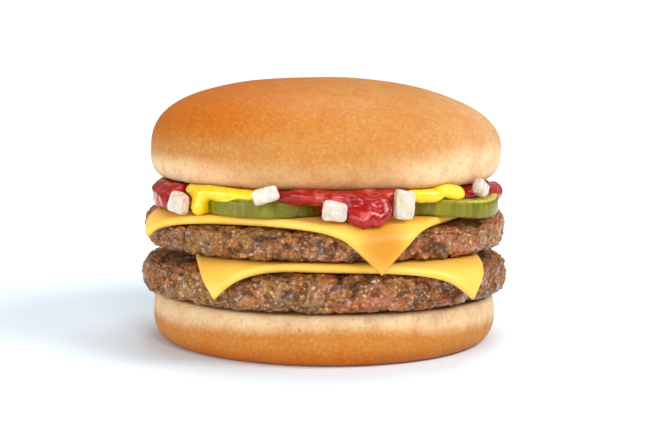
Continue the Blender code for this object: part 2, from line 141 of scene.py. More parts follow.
# each dice: direction in degrees, distance from the axis and height in mm, sides in mm, tilt in degrees
ONIONS = [
    (-134.5, 53.4, 41.0, (5.8, 3.6, 5.6), 14.0),
    (-105.8, 52.8, 44.2, (7.0, 3.4, 4.2), -18.0),
    (-87.5, 53.1, 40.5, (6.4, 3.8, 5.2), 6.0),
    (-68.2, 52.4, 41.9, (5.2, 3.8, 7.6), 3.0),
    (-37.0, 51.2, 45.0, (4.8, 3.4, 4.0), 28.0),
    (14.0, 47.8, 43.2, (5.0, 3.8, 4.2), -12.0),
    (26.0, 50.2, 42.6, (6.0, 4.0, 4.6), 15.0),
    (46.0, 50.4, 44.2, (5.0, 3.6, 4.2), -24.0),
    (84.0, 49.4, 43.0, (5.4, 4.0, 5.4), 9.0),
    (124.0, 49.2, 42.8, (6.6, 4.0, 4.6), -14.0),
    (168.0, 49.4, 42.6, (5.2, 3.8, 4.0), 12.0),
]
MUSTARD_CORE = 34.0 * MM
KETCHUP_CORE = 46.0 * MM
SAUCE_SKIN = 0.15 * MM
SAUCE_REACH = 3.0 * MM
SAUCE_VOXEL = 0.55 * MM
SAUCE_THINNEST = 0.35 * MM
MUSTARD_FILM = 1.0 * MM
FILM_SPACE = 1.5 * MM
KETCHUP_RIPPLE = 1.1 * MM
MUSTARD_RIPPLE = 0.5 * MM
BALL_SPACING = 0.8 * MM
BACKING_MM = (0.0, 2.5, 5.0)

# each squeezed strand: points along it, by direction in degrees, then its outermost distance from the axis,
# its height and its thickness, in mm
MUSTARD_STRANDS = [
    [(-136, 50.2, 44.2, 1.6), (-132, 51.4, 43.4, 2.1), (-130.5, 51.8, 42.0, 2.3), (-130.5, 52.4, 40.0, 2.3)],
    [(-133, 50.8, 43.8, 2.0), (-127, 51.2, 43.9, 2.2), (-120, 51.2, 43.6, 2.0), (-113, 51.0, 43.3, 1.9)],
    [(-113, 51.0, 43.3, 1.9), (-108, 50.2, 43.3, 1.5)],
    [(-64.5, 50.2, 43.8, 1.5), (-60, 51.2, 43.5, 2.0), (-55.5, 51.7, 43.5, 2.0), (-53.5, 51.0, 43.9, 1.6)],
    [(-53, 50.0, 44.9, 1.3), (-50, 51.6, 44.5, 2.2), (-47.5, 52.2, 44.0, 2.3), (-45.5, 51.6, 43.7, 1.8)],
    [(28, 48.4, 44.6, 1.8), (36, 49.2, 44.2, 2.3), (44, 49.4, 44.4, 2.5), (52, 48.4, 44.8, 1.8)],
    [(136, 48.4, 44.6, 1.8), (144, 49.2, 44.4, 2.3), (152, 49.2, 44.2, 2.4), (160, 48.2, 44.8, 1.7)],
]
KETCHUP_STRANDS = [
    [(-178, 48.6, 43.2, 2.4), (-168, 49.6, 42.8, 2.9), (-158, 50.8, 42.8, 3.0), (-150, 51.2, 43.2, 2.5)],
    [(-150, 51.2, 43.2, 2.5), (-142, 50.0, 44.2, 1.5)],
    [(-166, 49.8, 41.0, 2.0), (-157, 51.4, 40.6, 2.2), (-149, 52.6, 40.4, 2.1), (-142, 52.8, 39.9, 1.9)],
    [(-164, 49.8, 44.0, 1.3), (-157, 51.6, 43.6, 1.5), (-149, 52.4, 42.3, 1.5), (-144, 52.6, 41.6, 1.4)],
    [(-106, 50.0, 43.6, 1.8), (-98, 50.9, 43.5, 2.2), (-91, 51.4, 43.4, 2.3), (-84, 51.8, 42.8, 2.6)],
    [(-84, 51.8, 42.8, 2.6), (-77, 52.0, 42.9, 2.7), (-70, 51.2, 43.2, 2.4), (-64, 50.2, 43.7, 1.6)],
    [(-88, 51.4, 42.0, 1.7), (-85.5, 52.4, 41.2, 2.0), (-83, 53.2, 40.8, 2.1)],
    [(-84.5, 52.4, 42.0, 2.3), (-83, 54.2, 40.2, 2.4), (-81.5, 55.8, 38.9, 2.3), (-80, 56.5, 38.2, 2.0)],
    [(-73.5, 52.6, 42.0, 2.3), (-73.8, 54.4, 40.4, 2.4), (-74.6, 55.6, 39.2, 2.3), (-76, 56.4, 38.3, 2.0)],
    [(-79.5, 53.2, 42.0, 2.4), (-79, 54.6, 40.8, 2.4), (-78.5, 56.0, 39.4, 2.3)],
    [(-101, 51.0, 44.3, 1.3), (-94, 52.6, 43.6, 1.5), (-88, 53.2, 43.4, 1.6), (-82, 53.6, 42.8, 1.6)],
    [(-82, 53.6, 42.8, 1.6), (-77, 54.0, 42.4, 1.5), (-73.5, 53.4, 42.8, 1.3)],
    [(-41, 50.0, 42.8, 1.5), (-37, 50.4, 43.2, 1.5), (-33, 50.6, 43.4, 1.8)],
    [(-31, 50.8, 43.4, 2.4), (-23, 51.8, 42.7, 2.9), (-15, 51.5, 42.7, 2.8), (-7, 50.4, 43.2, 2.2)],
    [(2, 48.6, 43.6, 2.2), (11, 49.6, 43.0, 2.7), (20, 49.0, 43.4, 2.2)],
    [(57, 48.4, 43.6, 2.2), (66, 49.4, 43.2, 2.7), (76, 49.6, 42.8, 2.9), (86, 48.8, 43.4, 2.3)],
    [(92, 48.6, 43.6, 2.2), (102, 49.6, 43.0, 2.8), (112, 49.6, 42.9, 2.9), (121, 48.6, 43.5, 2.2)],
]

# studio
CAMERA_DISTANCE = 0.330
CAMERA_HEIGHT = 0.065
CAMERA_FOCAL_PIXELS = 1135.0
CAMERA_PITCH = math.radians(5.5)
CAMERA_ROLL = math.radians(0.4)
CAMERA_AXIS_PIXEL = 325.0
IMAGE_WIDTH = 660
SENSOR_WIDTH = 36.0
LIGHT_AIM_HEIGHT = 0.035
FLOOR_RADIUS = 8.0
ROOM_LIGHT = 0.28
BACKDROP_LIGHT = 1.05

# noise_vector would take its seed from the clock
noise.seed_set(CRUMB_SEED)


def paint(red, green, blue):
    """A display colour, 0 to 255, as the linear colour that a shader takes."""
    def linear(channel):
        share = channel / 255.0
        return share / 12.92 if share <= 0.04045 else ((share + 0.055) / 1.055) ** 2.4

    return (linear(red), linear(green), linear(blue), 1.0)


class Value:
    """One value of a finish. Arithmetic on it adds Math nodes."""

    def __init__(self, finish, socket):
        self.finish = finish
        self.socket = socket

    def __add__(self, other):
        return self.finish.math("ADD", self, other)

    __radd__ = __add__

    def __sub__(self, other):
        return self.finish.math("SUBTRACT", self, other)

    def __rsub__(self, other):
        return self.finish.math("SUBTRACT", other, self)

    def __mul__(self, other):
        return self.finish.math("MULTIPLY", self, other)

    __rmul__ = __mul__

    def __truediv__(self, other):
        return self.finish.math("DIVIDE", self, other)


class Finish:
    """A material and the nodes that it is made of."""

    def __init__(self, name, **fixed):
        self.material = bpy.data.materials.new(name)
        self.material.use_nodes = True
        self.tree = self.material.node_tree
        self.shader = self.tree.nodes["Principled BSDF"]
        for socket, value in fixed.items():
            self.shader.inputs[socket.replace("_", " ")].default_value = value
        self.place = self.node("ShaderNodeTexCoord", output="Object")
        apart = self.tree.nodes.new("ShaderNodeSeparateXYZ")
        self.tree.links.new(self.place.socket, apart.inputs[0])
        self.x, self.y, self.z = (Value(self, socket) for socket in apart.outputs)

    def node(self, kind, settings=None, inputs=None, output=0):
        """Adds one node with its settings and the values or links of its inputs. Gives one of its outputs."""
        made = self.tree.nodes.new(kind)
        for name, value in (settings or {}).items():
            setattr(made, name, value)
        for name, value in (inputs or {}).items():
            if isinstance(value, Value):
                self.tree.links.new(value.socket, made.inputs[name])
            else:
                made.inputs[name].default_value = value
        return Value(self, made.outputs[output])

    def math(self, operation, *terms):
        return self.node("ShaderNodeMath", {"operation": operation}, dict(enumerate(terms)))

    def attribute(self, name):
        """What the mesh carries under this name."""
        return self.node("ShaderNodeAttribute", {"attribute_name": name}, output="Fac")

    def where(self, stretch):
        """The place on the piece, each axis multiplied by its share of stretch."""
        if not stretch:
            return self.place
        return self.node("ShaderNodeMapping", inputs={"Vector": self.place, "Scale": stretch})

    def lumps(self, size, detail=3.0, rough=0.5, warp=0.0, stretch=None):
        """Soft noise from about 0 to 1, its lumps about this many metres across."""
        inputs = {"Vector": self.where(stretch), "Scale": 1.0 / size}
        inputs.update({"Detail": detail, "Roughness": rough, "Distortion": warp})
        return self.node("ShaderNodeTexNoise", inputs=inputs)

    def cells(self, size, stretch=None):
        """Distance to the nearest of scattered points, about this many metres apart."""
        return self.node("ShaderNodeTexVoronoi", inputs={"Vector": self.where(stretch), "Scale": 1.0 / size})

    def span(self, value, low, high, from_share=0.0, to_share=1.0):
        """value from low to high, as a soft step between two shares."""
        return self.node(
            "ShaderNodeMapRange",
            {"interpolation_type": "SMOOTHSTEP"},
            {"Value": value, "From Min": low, "From Max": high, "To Min": from_share, "To Max": to_share},
        )

    def blend(self, share, first, second):
        """Two colours mixed by share. A Mix node has its colours at inputs 6 and 7 and at output 2."""
        return self.node("ShaderNodeMix", {"data_type": "RGBA"}, {0: share, 6: first, 7: second}, 2)

    def bump(self, height, depth, strength=1.0, under=None):
        inputs = {"Height": height, "Distance": depth, "Strength": strength}
        if under:
            inputs["Normal"] = under
        return self.node("ShaderNodeBump", inputs=inputs)

    def wear(self, **links):
        """Feeds these values to the shader."""
        for socket, value in links.items():
            self.tree.links.new(value.socket, self.shader.inputs[socket.replace("_", " ")])
        return self.material


def make_crust(name, colours, browning, reach):
    """Crust of one half. The browning function tells how well baked a place is, with painted light and shade
    from side to side mixed in, and reach where each colour gives way.
    """
    crust = Finish(name, IOR=1.4, Subsurface_Weight=0.08, Subsurface_Scale=0.003, Specular_IOR_Level=0.2)
    crust.shader.inputs["Subsurface Radius"].default_value = (1.0, 0.5, 0.25)
    height = browning(crust) + (crust.lumps(0.022, 2.0) - 0.5) * 0.22
    cream, golden, brown = (paint(*colour) for colour in colours)
    shade = crust.blend(crust.span(height, reach[0], reach[1]), cream, golden)
    shade = crust.blend(crust.span(height, reach[2], reach[3]), shade, brown)
    mottle = crust.lumps(0.0055, 4.0, 0.6)
    shade = crust.blend(crust.span(mottle, 0.42, 0.72, 0.0, 0.3), shade, paint(176, 88, 24))
    speckle = crust.lumps(0.0009, 3.0, 0.65)
    shade = crust.blend(crust.span(speckle, 0.48, 0.72, 0.0, 0.3), shade, paint(150, 76, 24))
    shade = crust.blend(crust.span(speckle, 0.5, 0.28, 0.0, 0.1), shade, paint(250, 214, 160))
    freckle = crust.cells(0.0042)
    keep = crust.span(crust.lumps(0.006, 1.0), 0.52, 0.64)
    shade = crust.blend(crust.span(freckle, 0.14, 0.05, 0.0, 0.4) * keep, shade, paint(126, 64, 22))
    rough = crust.span(mottle, 0.3, 0.7, 0.46, 0.62)
    skin = crust.bump(crust.lumps(0.0015, 5.0, 0.65), 0.0002, 0.5)
    skin = crust.bump(crust.lumps(0.006, 3.0), 0.0005, 0.35, skin)
    return crust.wear(Base_Color=shade, Roughness=rough, Normal=skin)


def crown_browning(crust):
    """Palest low at the sides, golden over the front, brownest high on the left and paler on the right:
    partly baking, partly painted shade on the left and painted light on the right.
    """
    height = (crust.z - CROWN_BASE) / (CROWN_TOP - CROWN_BASE)
    aside = crust.span(crust.math("ABSOLUTE", crust.x), 0.012, 0.046)
    low = crust.span(height, 0.42, 0.0) * (0.28 + aside * 0.4)
    high_left = crust.span(crust.x, 0.026, -0.044) * crust.span(height, 0.16, 0.66)
    # the terms by x: painted shade high on the left, painted light on the right
    return 0.6 - low + high_left * 0.62 - crust.span(crust.x, -0.004, 0.05) * 0.3


def heel_browning(crust):
    """Palest at the cut edge, brownest at the foot, paler towards the sides and on the right: partly baking,
    partly painted light.
    """
    aside = crust.span(crust.math("ABSOLUTE", crust.x), 0.005, 0.045)
    # the side and right terms: painted light
    return (HEEL_TOP - crust.z) / HEEL_TOP * 1.15 - aside * 0.17 - crust.span(crust.x, 0.01, 0.048) * 0.1


def make_beef(name):
    """Grilled ground beef: each crumb its own brown, pink, grey or olive, with painted shade in the pits,
    olive more on the left and pink more on the right as partly painted shade and light, pale specks that are
    partly fat and partly painted glints, wet on top.
    """
    beef = Finish(
        name, IOR=1.45, Subsurface_Weight=0.06, Subsurface_Scale=0.003, Coat_Roughness=0.11,
        Specular_IOR_Level=0.3,
    )
    beef.shader.inputs["Subsurface Radius"].default_value = (1.0, 0.35, 0.2)
    tone = beef.attribute("tone")
    crevice = beef.attribute("crevice")
    shade = beef.blend(beef.span(tone, 0.2, 0.8), paint(94, 52, 17), paint(174, 109, 52))
    # olive more on the left and pink more on the right: partly random tone, partly painted shade on the left
    # and painted light on the right
    olive = beef.lumps(0.012, 3.0, 0.6, 0.6) - beef.x * 1.6
    shade = beef.blend(beef.span(olive, 0.52, 0.64, 0.0, 0.7), shade, paint(146, 104, 44))
    pink = beef.lumps(0.009, 2.0, 0.5, 0.4) + beef.x * 1.5
    shade = beef.blend(beef.span(pink, 0.52, 0.66, 0.0, 0.65), shade, paint(178, 102, 66))
    browned = beef.lumps(0.007, 3.0, 0.6, 0.8)
    shade = beef.blend(beef.span(browned, 0.54, 0.68, 0.0, 0.75), shade, paint(170, 82, 18))
    grey = beef.lumps(0.01, 2.0, 0.5, 1.2)
    shade = beef.blend(beef.span(grey, 0.46, 0.32, 0.0, 0.6), shade, paint(154, 110, 64))
    fine = beef.lumps(0.0009, 4.0, 0.7)
    # pale specks: partly fat, partly painted glints
    shade = beef.blend(beef.span(fine, 0.54, 0.66, 0.0, 0.75), shade, paint(234, 188, 140))
    shade = beef.blend(beef.span(fine, 0.47, 0.32, 0.0, 0.8), shade, paint(54, 27, 15))
    # painted shade: dark in the pits between crumbs
    shade = beef.blend(beef.span(crevice, 0.62, 0.1, 0.0, 0.85), shade, paint(48, 24, 14))
    wet = beef.span(beef.lumps(0.0032, 3.0, 0.6), 0.46, 0.6)
    rough = 0.58 - wet * 0.3
    normal = beef.bump(fine, 0.0006, 1.0)
    normal = beef.bump(beef.lumps(0.0022, 4.0, 0.65, 0.5), 0.0007, 0.5, normal)
    return beef.wear(Base_Color=shade, Roughness=rough, Coat_Weight=wet, Normal=normal)


def make_cheese():
    """Processed cheese, even and satin, with painted shade in the middle of the front corner."""
    cheese = Finish("melted cheese", IOR=1.42, Subsurface_Weight=0.35, Subsurface_Scale=0.004)
    cheese.shader.inputs["Subsurface Radius"].default_value = (1.0, 0.6, 0.12)
    broad = cheese.lumps(0.02, 2.0)
    shade = cheese.blend(cheese.span(broad, 0.35, 0.65), paint(246, 194, 88), paint(242, 184, 70))
    # painted shade: deeper orange-yellow in the middle of the hanging front corner, carried by the mesh
    hang = cheese.attribute("hang")
    shade = cheese.blend(cheese.span(hang, 0.0, 1.0, 0.0, 0.9), shade, paint(192, 124, 12))
    fine = cheese.lumps(0.0008, 3.0, 0.6)
    shade = cheese.blend(cheese.span(fine, 0.55, 0.75, 0.0, 0.12), shade, paint(255, 232, 150))
    rough = cheese.span(cheese.lumps(0.004, 3.0), 0.3, 0.7, 0.3, 0.42)
    normal = cheese.bump(cheese.lumps(0.006, 3.0), 0.0004, 0.3)
    normal = cheese.bump(fine, 0.00006, 0.5, normal)
    return cheese.wear(Base_Color=shade, Roughness=rough, Normal=normal)


def make_pickle_finish():
    """Brined cucumber: olive skin round the rim with paler streaks, wet yellow-green flesh with seeds, and
    paler flesh near the skin as a painted highlight along the edge.
    """
    pickle = Finish(
        "pickle", IOR=1.38, Subsurface_Weight=0.15, Subsurface_Scale=0.002, Coat_Roughness=0.12,
        Specular_IOR_Level=0.3,
    )
    pickle.shader.inputs["Subsurface Radius"].default_value = (0.6, 1.0, 0.2)
    rim = pickle.attribute("rim")
    streak = pickle.lumps(0.0015, 3.0, 0.6, stretch=(1.0, 1.0, 0.18))
    band = pickle.lumps(0.011, 2.0, 0.5)
    skin = pickle.blend(pickle.span(streak, 0.25, 0.8), paint(99, 93, 4), paint(134, 127, 10))
    skin = pickle.blend(pickle.span(band, 0.52, 0.66, 0.0, 0.5), skin, paint(82, 70, 8))
    fleck = pickle.cells(0.0016, stretch=(1.0, 1.0, 0.7))
    skin = pickle.blend(pickle.span(fleck, 0.2, 0.08, 0.0, 0.3), skin, paint(176, 172, 80))
    pulp = pickle.lumps(0.004, 3.0)
    flesh = pickle.blend(pickle.span(pulp, 0.35, 0.65), paint(176, 168, 72), paint(148, 144, 48))
    seed = pickle.span(pickle.cells(0.0042), 0.3, 0.18, 0.0, 0.6) * pickle.span(rim, 0.7, 0.5)
    flesh = pickle.blend(seed, flesh, paint(214, 206, 140))
    # painted highlight: paler flesh near the skin, along the rim's edge
    flesh = pickle.blend(pickle.span(rim, 0.88, 0.96, 0.0, 0.7), flesh, paint(206, 198, 104))
    shade = pickle.blend(pickle.span(rim, 0.962, 0.99), flesh, skin)
    rough = pickle.span(streak, 0.3, 0.7, 0.22, 0.38)
    normal = pickle.bump(pickle.lumps(0.0012, 3.0, 0.6), 0.0002, 0.5)
    wet = pickle.span(band, 0.3, 0.7, 0.05, 0.15)
    return pickle.wear(Base_Color=shade, Roughness=rough, Coat_Weight=wet, Normal=normal)


def make_onion_finish():
    """Raw white onion, wet and half clear, with faint layer lines and a stain of the sauces on its edges."""
    onion = Finish(
        "diced onion", IOR=1.38, Subsurface_Weight=0.5, Subsurface_Scale=0.004, Coat_Roughness=0.08,
        Transmission_Weight=0.45,
    )
    onion.shader.inputs["Subsurface Radius"].default_value = (1.0, 0.85, 0.7)
    fibre = onion.lumps(0.0016, 3.0, 0.6, stretch=(1.0, 1.0, 0.3))
    shade = onion.blend(onion.span(fibre, 0.35, 0.7), paint(236, 225, 202), paint(254, 249, 238))
    stain = onion.lumps(0.0042, 2.0, 0.5)
    shade = onion.blend(onion.span(stain, 0.56, 0.7, 0.0, 0.4), shade, paint(230, 150, 130))
    shade = onion.blend(onion.span(onion.lumps(0.005, 2.0), 0.58, 0.7, 0.0, 0.4), shade, paint(232, 212, 130))
    rough = onion.span(fibre, 0.3, 0.7, 0.16, 0.32)
    normal = onion.bump(fibre, 0.0001, 0.35)
    wet = onion.span(stain, 0.3, 0.7, 0.3, 0.6)
    return onion.wear(Base_Color=shade, Roughness=rough, Coat_Weight=wet, Normal=normal)


def make_ketchup_finish():
    """Thick tomato ketchup: deep red with brighter patches, pinker patches that are painted reflections, very
    glossy, faintly grainy.
    """
    red = Finish(
        "ketchup", IOR=1.38, Subsurface_Weight=0.1, Subsurface_Scale=0.002, Coat_Roughness=0.16,
        Specular_IOR_Level=0.3,
    )
    red.shader.inputs["Subsurface Radius"].default_value = (1.0, 0.1, 0.05)
    pulp = red.lumps(0.0022, 4.0, 0.6)
    shade = red.blend(red.span(pulp, 0.35, 0.7), paint(136, 7, 7), paint(170, 21, 12))
    shade = red.blend(red.span(red.lumps(0.007, 2.0), 0.55, 0.7, 0.0, 0.5), shade, paint(196, 48, 22))
    # painted reflection: pinker patches standing in for broad glossy reflections
    shade = red.blend(red.span(red.lumps(0.0032, 1.0), 0.55, 0.68, 0.0, 0.55), shade, paint(218, 100, 88))
    rough = red.span(pulp, 0.3, 0.7, 0.2, 0.34)
    normal = red.bump(pulp, 0.0003, 0.3)
    normal = red.bump(red.lumps(0.0006, 3.0, 0.6), 0.00008, 0.2, normal)
    wet = red.span(pulp, 0.2, 0.8, 0.35, 0.65)
    return red.wear(Base_Color=shade, Roughness=rough, Coat_Weight=wet, Normal=normal)


def make_mustard_finish():
    """Smooth yellow mustard, glossy, with tiny darker grains of spice."""
    yellow = Finish("mustard", IOR=1.42, Subsurface_Weight=0.2, Subsurface_Scale=0.002, Coat_Roughness=0.08)
    yellow.shader.inputs["Subsurface Radius"].default_value = (1.0, 0.8, 0.05)
    paste = yellow.lumps(0.003, 3.0)
    shade = yellow.blend(yellow.span(paste, 0.35, 0.65), paint(230, 190, 8), paint(238, 204, 22))
    spice = yellow.cells(0.0011)
    shade = yellow.blend(yellow.span(spice, 0.16, 0.06, 0.0, 0.35), shade, paint(196, 150, 20))
    rough = yellow.span(paste, 0.3, 0.7, 0.2, 0.34)
    normal = yellow.bump(yellow.lumps(0.0016, 4.0, 0.6), 0.0002, 0.5)
    wet = yellow.span(paste, 0.2, 0.8, 0.3, 0.6)
    return yellow.wear(Base_Color=shade, Roughness=rough, Coat_Weight=wet, Normal=normal)


def start_fresh():
    """Leaves nothing selected, so that the next operator acts on the new piece alone."""
    bpy.ops.object.select_all(action="DESELECT")


def smoothstep(low, high, value):
    share = min(1.0, max(0.0, (value - low) / (high - low)))
    return share * share * (3.0 - 2.0 * share)


def grain(point, size, seed):
    """Smooth noise from 0 to 1 with lumps of about this size, the same as the solids'."""
    return 0.5 + 0.5 * noise.noise(point / size + Vector((seed, 0.0, 0.0)))


def turned(name, profile, steps):
    """A round piece: its profile, drawn point by point from the top of the axis down, then spun about it."""
    start_fresh()
    bpy.ops.mesh.primitive_plane_add(size=MM, location=(0.0, 0.0, 0.0))
    piece = bpy.context.object
    piece.name = piece.data.name = name
    bpy.ops.object.mode_set(mode="EDIT")
    bpy.ops.mesh.select_mode(type="VERT")
    bpy.ops.mesh.merge(type="CENTER")
    last = (0.0, 0.0)
    for index, point in enumerate(profile):
        step = (point[0] - last[0], 0.0, point[1] - last[1])
        if index:
            bpy.ops.mesh.extrude_region_move(TRANSFORM_OT_translate={"value": step})
        else:
            bpy.ops.transform.translate(value=step)
        last = point
    bpy.ops.mesh.select_all(action="SELECT")
    bpy.ops.mesh.spin(steps=steps, angle=2.0 * math.pi, center=(0.0, 0.0, 0.0), axis=(0.0, 0.0, 1.0))
    bpy.ops.mesh.select_all(action="SELECT")
    bpy.ops.mesh.remove_doubles(threshold=0.002 * MM)
    bpy.ops.mesh.normals_make_consistent(inside=False)
    bpy.ops.object.mode_set(mode="OBJECT")
    return piece


def reshape(piece, moved):
    """Moves every vertex to moved(place, outward normal)."""
    mesh = piece.data
    places = [moved(vertex.co.copy(), vertex.normal.copy()) for vertex in mesh.vertices]
    mesh.vertices.foreach_set("co", np.array(places, np.float32).ravel())
    mesh.update()


def carry(piece, name, values):
    """Keeps one number a vertex on the piece, for its finish to read."""
    attribute = piece.data.attributes.new(name, "FLOAT", "POINT")
    attribute.data.foreach_set("value", np.array(values, np.float32))


def press(piece, kind, **settings):
    """Adds one modifier and applies it."""
    start_fresh()
    piece.select_set(True)
    bpy.context.view_layer.objects.active = piece
    modifier = piece.modifiers.new(kind.title(), kind)
    for name, value in settings.items():
        setattr(modifier, name, value)
    bpy.ops.object.modifier_apply(modifier=modifier.name)


def dress(piece, finish, slot, *nodes):
    """Gives a piece its finish and smooth shading, hangs it under the root and hides the solids that it
    stands in for.
    """
    start_fresh()
    piece.select_set(True)
    bpy.context.view_layer.objects.active = piece
    piece.data.materials.clear()
    piece.data.materials.append(finish)
    bpy.ops.object.shade_smooth()
    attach(piece, "root")
    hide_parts(*nodes)
    return piece


def surface_tree(piece):
    mesh = piece.data
    places = [vertex.co.copy() for vertex in mesh.vertices]
    return BVHTree.FromPolygons(places, [tuple(face.vertices) for face in mesh.polygons])


def quarter(radius, height, radius_power, height_power, start, end, count):
    """Points of a superellipse arc between two angles in degrees, evenly spaced along it."""
    angles = np.radians(np.linspace(start, end, 400))
    across = radius * np.maximum(np.cos(angles), 0.0) ** (2.0 / radius_power)
    up = height * np.sign(np.sin(angles)) * np.abs(np.sin(angles)) ** (2.0 / height_power)
    length = np.concatenate([[0.0], np.cumsum(np.hypot(np.diff(across), np.diff(up)))])
    at = np.linspace(0.0, length[-1], count)
    return list(zip(np.interp(at, length, across), np.interp(at, length, up)))


def make_crown(finish):
    """The domed half, leaning to the left and nodding to the front like its solid, but lower on the right."""
    dome = quarter(CROWN_RADIUS, CROWN_TOP - CROWN_WIDEST, CROWN_DOME_POWER, CROWN_DOME_POWER, 90, 0, 44)
    lip = quarter(CROWN_LIP, CROWN_WIDEST - CROWN_BASE, CROWN_LIP_POWER, CROWN_LIP_POWER, 0, -90, 20)
    profile = [(r, CROWN_WIDEST + z) for r, z in dome]
    profile += [(CROWN_RADIUS - CROWN_LIP + r, CROWN_WIDEST + z) for r, z in lip[1:]]
    cut_face = CROWN_RADIUS - CROWN_LIP
    for share in (0.85, 0.65, 0.5, 0.25, 0.0):
        profile.append((cut_face * share, CROWN_BASE + CROWN_HOLLOW * (1.0 - share)))
    crown = turned("bun_crown_baked", profile, BUN_STEPS)
    nod = Matrix.Rotation(CROWN_NOD, 3, "X")
    middle = Vector((0.0, 0.0, CROWN_BASE))

    def baked(point, normal):
        rise = max(0.0, point.z - CROWN_WIDEST) / (CROWN_TOP - CROWN_WIDEST)
        crusted = smoothstep(CROWN_BASE, CROWN_WIDEST, point.z)
        uneven = 1.2 * MM * (grain(point, 45.0 * MM, 3.0) - 0.5)
        uneven += BUN_RIPPLE * (grain(point, 12.0 * MM, 8.0) - 0.5)
        point = point + normal * uneven * crusted
        point.x -= CROWN_LEAN * rise * rise
        on_right = smoothstep(0.0, 0.9 * CROWN_RADIUS, point.x)
        point.z -= CROWN_SETTLED * rise * (0.25 + 0.75 * on_right)
        return nod @ (point - middle) + middle

    reshape(crown, baked)
    return dress(crown, finish, "bun", "bun_crown")


def make_heel(finish):
    """The flat half on its round foot, its side uneven and up to half a millimetre fuller than its solid."""
    side_reach = HEEL_RADIUS - HEEL_BASE_RADIUS
    shoulder = quarter(HEEL_RADIUS - HEEL_TOP_RADIUS, HEEL_TOP - HEEL_WIDEST, 2.4, 2.8, 90, 0, 16)
    foot = quarter(side_reach, HEEL_WIDEST, 2.2, 2.2, 0, -90, 18)
    profile = [(0.0, HEEL_TOP), (0.4 * HEEL_TOP_RADIUS, HEEL_TOP), (0.8 * HEEL_TOP_RADIUS, HEEL_TOP)]
    profile += [(HEEL_TOP_RADIUS + r, HEEL_WIDEST + z) for r, z in shoulder]
    profile += [(HEEL_BASE_RADIUS + r, HEEL_WIDEST + z) for r, z in foot[1:]]
    profile += [(0.9 * HEEL_BASE_RADIUS, 0.0), (0.5 * HEEL_BASE_RADIUS, 0.0), (0.0, 0.0)]
    heel = turned("bun_heel_baked", profile, BUN_STEPS)

    def baked(point, normal):
        radius = math.hypot(point.x, point.y)
        side = smoothstep(0.0, 0.3 * HEEL_TOP, point.z)
        side *= smoothstep(0.8 * HEEL_RADIUS, 0.94 * HEEL_RADIUS, radius)
        uneven = 0.9 * MM * (grain(point, 40.0 * MM, 9.0) - 0.5)
        uneven += BUN_RIPPLE * (grain(point, 9.0 * MM, 4.0) - 0.5)
        return point - normal * uneven * side

    reshape(heel, baked)
    return dress(heel, finish, "bun", "bun_heel")


def front_dip(x, y):
    """How far the stack sinks near the rim in front, under the weight of the bun."""
    reach = math.hypot(x, y)
    return FRONT_DIP * smoothstep(8.0 * MM, 48.0 * MM, reach) * smoothstep(0.1, 0.7, -y / max(reach, MM))


def patty_profile(radius, middle):
    """Half outline of a patty, fine round the rim and coarse where it is covered."""
    angles = np.linspace(math.pi / 2, -math.pi / 2, 6000)
    across = radius * np.maximum(np.cos(angles), 0.0) ** (2.0 / PATTY_RIM_POWER)
    up = PATTY_THICKNESS / 2 * np.sign(np.sin(angles)) * np.abs(np.sin(angles)) ** (2.0 / PATTY_FACE_POWER)
    length = np.concatenate([[0.0], np.cumsum(np.hypot(np.diff(across), np.diff(up)))])
    covered = 0.76 * radius
    face = np.array([0.0, 0.3, 0.55, 0.75, 0.9]) * covered
    rim = np.arange(covered, length[-1] - covered, PATTY_SPACING)
    at = np.concatenate([face, rim, length[-1] - face[::-1]])
    return list(zip(np.interp(at, length, across), middle + np.interp(at, length, up)))


def make_patty(name, radius, middle, seed, dipped, finish):
    """Ground beef pressed by hand: the solid's outline and lumps, broken into crumbs with pits between.

    dipped is 1 for the patty that follows the dip of the stack in front, and 0 for the one that lies flat.
    """
    patty = turned(name + "_ground", patty_profile(radius, middle), PATTY_STEPS)
    crevices, tones = [], []
    shift = Vector((seed * 0.7, 0.0, 0.0))

    def ground(point, normal):
        across = math.hypot(point.x, point.y)
        rim = smoothstep(0.8 * radius, 0.95 * radius, across)
        around = Vector((point.x, point.y, 0.0))
        outline = BEEF_OUTLINE * grain(around, 26.0 * MM, seed) * rim
        lumps = BEEF_LUMPS * grain(point, 7.5 * MM, seed + 5.0) ** 1.5 * (0.15 + 0.85 * rim)
        crags = BEEF_CRAGS * grain(point, 4.5 * MM, seed + 11.0) * (0.1 + 0.9 * rim)
        warp = noise.noise_vector(point / CRUMB + shift) * 1.5 * MM
        near, cells = noise.voronoi((point + warp) / CRUMB + shift)
        bead = min(1.0, near[0] / CRUMB_REACH) ** 2
        tiny, small_cells = noise.voronoi((point + 0.8 * warp) / SMALL_CRUMB + shift)
        small_bead = min(1.0, tiny[0] / CRUMB_REACH) ** 2
        fray = noise.fractal(point / FRAY + shift, 0.8, 2.1, 3)
        loose = 0.45 + 0.55 * smoothstep(0.38, 0.62, grain(point, 6.0 * MM, seed + 3.0))
        pit = smoothstep(0.64, 0.8, grain(point + warp, CRUMB, seed + 19.0))
        depth = (1.1 * bead * loose + 0.5 * small_bead + 0.28 * fray + 0.45 * pit - 0.4) * MM
        open_beads = (1.0 - 0.7 * bead ** 2 * loose) * (1.0 - 0.6 * small_bead ** 2)
        # how open the pits are here, for the painted shade in them
        crevices.append(open_beads * (1.0 - 0.3 * pit))
        tones.append(0.5 + 0.55 * noise.noise(cells[0] * 3.7) + 0.3 * noise.noise(small_cells[0] * 5.1))
        way = Vector((normal.x, normal.y, 0.15 * normal.z))
        upper = smoothstep(middle, middle + PATTY_THICKNESS / 2, point.z)
        sunk = front_dip(point.x, point.y) * upper + PATTY_SAG * rim * (1 - upper)
        moved = point - way * (outline + 0.85 * lumps + 0.5 * crags) - normal * depth * (0.25 + 0.75 * rim)
        return moved - Vector((0.0, 0.0, sunk * dipped))

    reshape(patty, ground)
    carry(patty, "crevice", crevices)
    carry(patty, "tone", tones)
    return dress(patty, finish, "beef", name)


